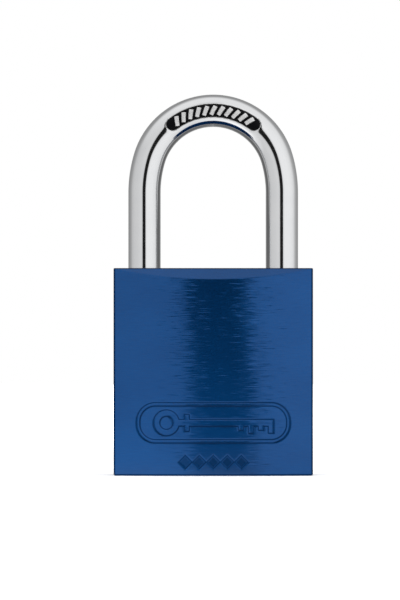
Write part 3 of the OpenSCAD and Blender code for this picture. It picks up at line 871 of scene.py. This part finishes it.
def floor_mirrored(tree, place, away):
    """The floor's level as metal mirrors it: bright in front, dull behind, the tent's far off."""
    across, depth, _ = add(tree, "SeparateXYZ", [(0, place)]).outputs
    front_back = ranged(tree, depth, FLOOR_FRONT, FLOOR_BACK, *FRONT_TO_BACK_Y)
    side = ranged(tree, across, NEAR_LEFT, NEAR_RIGHT, *LEFT_TO_RIGHT_X)
    close = ranged(tree, away, 1.0, 0.0, *NEAR_TO_FAR)
    in_front = ranged(tree, depth, 1.0, 0.0, *NEAR_FRONT_Y)
    close_in_front = math_node(tree, "MULTIPLY", close, in_front)
    near = math_node(tree, "MULTIPLY_ADD", side, close_in_front, front_back)
    far = ranged(tree, away, 0.0, 1.0, *MEETS_TENT)
    tent = tent_level(tree, across, depth)
    return add(tree, "Mix", [(0, far), (2, near), (3, tent)]).outputs[0]


def floor_material():
    """Pale and evenly lit for the camera, a level of its own for metal, and clear from below."""
    material = bpy.data.materials.new("pale_floor")
    material.use_nodes = True
    tree = material.node_tree
    tree.nodes.clear()
    place = add(tree, "TexCoord").outputs["Object"]
    away = add(tree, "VectorMath", [(0, place)], operation="LENGTH").outputs["Value"]
    far_glow = ranged(tree, away, *CAMERA_GLOW, *GLOW_REACH)
    pale = add(tree, "BsdfDiffuse", [("Color", (0.88, 0.88, 0.88, 1))]).outputs[0]
    glow = add(tree, "Emission", [("Strength", far_glow)]).outputs[0]
    seen = add(tree, "AddShader", [(0, pale), (1, glow)]).outputs[0]
    level = floor_mirrored(tree, place, away)
    mirrored = add(tree, "Emission", [("Strength", level)]).outputs[0]
    to_camera = add(tree, "LightPath").outputs["Is Camera Ray"]
    top = add(tree, "MixShader", [(0, to_camera), (1, mirrored), (2, seen)]).outputs[0]
    under = add(tree, "NewGeometry").outputs["Backfacing"]
    clear = add(tree, "BsdfTransparent").outputs[0]
    both = add(tree, "MixShader", [(0, under), (1, top), (2, clear)]).outputs[0]
    add(tree, "OutputMaterial", [("Surface", both)])
    return material


def make_floor():
    corners = []
    for x, y in ((-1, -1), (1, -1), (1, 1), (-1, 1)):
        corners.append((x * FLOOR_HALF, y * FLOOR_HALF, -FLOOR_DROP))
    floor = mesh_object("floor", corners, [[0, 1, 2, 3]], floor_material())


def make_world():
    """A soft white tent with a dark upright gap for the lens at -Y, duller behind the object."""
    world = bpy.data.worlds.new("tent")
    bpy.context.scene.world = world
    world.use_nodes = True
    tree = world.node_tree
    tree.nodes.clear()
    direction = add(tree, "TexCoord").outputs["Generated"]
    x, y, z = add(tree, "SeparateXYZ", [(0, direction)]).outputs
    # downwards it brightens sooner than upwards, and behind the object later
    behind = math_node(tree, "MAXIMUM", y, 0.0)
    steepness = math_node(tree, "MAXIMUM", z, math_node(tree, "MULTIPLY", z, -3.0))
    height = math_node(tree, "MULTIPLY_ADD", behind, -0.8, steepness)
    above = ranged(tree, height, 0.0, 1.0, *TOP_SHARE)
    tent = add(tree, "Mix", [(0, above), (2, tent_level(tree, x, y)), (3, TENT_TOP)]).outputs[0]
    seen = add(tree, "LightPath").outputs["Is Camera Ray"]
    level = add(tree, "Mix", [(0, seen), (2, tent), (3, 1.0)]).outputs[0]
    background = add(tree, "Background", [("Color", (1, 1, 1, 1)), ("Strength", level)]).outputs[0]
    add(tree, "OutputWorld", [("Surface", background)])


def make_lights():
    """A wide soft light overhead, which the polished metal doesn't mirror."""
    light = bpy.data.lights.new("overhead", "AREA")
    light.shape = "DISK"
    light.size = 0.9
    light.energy = 9.0
    lamp = bpy.data.objects.new("overhead", light)
    lamp.location = (0, 0, 0.8)
    lamp.visible_glossy = False
    bpy.context.scene.collection.objects.link(lamp)


# The camera is level with the middle of the picture and a little left of the padlock. In metres,
# apart from the sensor, which is in mm.
CAMERA_AWAY = 1.4
CAMERA_X = -0.00266
CAMERA_Z = 0.0352
VIEW_HEIGHT = 0.12097
SENSOR = 36.0


def make_camera():
    camera = bpy.data.cameras.new("camera")
    camera.sensor_width = SENSOR
    camera.lens = SENSOR * CAMERA_AWAY / VIEW_HEIGHT
    camera.clip_start, camera.clip_end = 0.01, 20
    holder = bpy.data.objects.new("camera", camera)
    holder.location = (CAMERA_X, -CAMERA_AWAY, CAMERA_Z)
    holder.rotation_euler = (math.pi / 2, 0, 0)
    bpy.context.scene.collection.objects.link(holder)
    bpy.context.scene.camera = holder


# The corners of the dark flag, in mm along Y and Z
FLAG = [(0.6, 41.7), (14.0, 41.7), (14.0, 60.8), (3.0, 60.8), (0.6, 50.0)]
FLAG_LEVEL = 0.13


def make_flag():
    """A dark flag behind the loop, edge-on to the lens, that dulls the loop's inner sides."""
    material, _, shader = new_material("dark_flag", Roughness=1.0, Emission_Strength=FLAG_LEVEL)
    shader.inputs["Base Color"].default_value = (0, 0, 0, 1)
    shader.inputs["Emission Color"].default_value = (1, 1, 1, 1)
    corners = [(0, y, z) for y, z in FLAG]
    flag = mesh_object("flag", corners, [list(range(len(FLAG)))], material)
    flag.visible_camera = False
    flag.visible_diffuse = False
    flag.visible_shadow = False


make_floor()
make_flag()
make_world()
make_lights()
make_camera()
bpy.context.scene.view_settings.view_transform = "Standard"
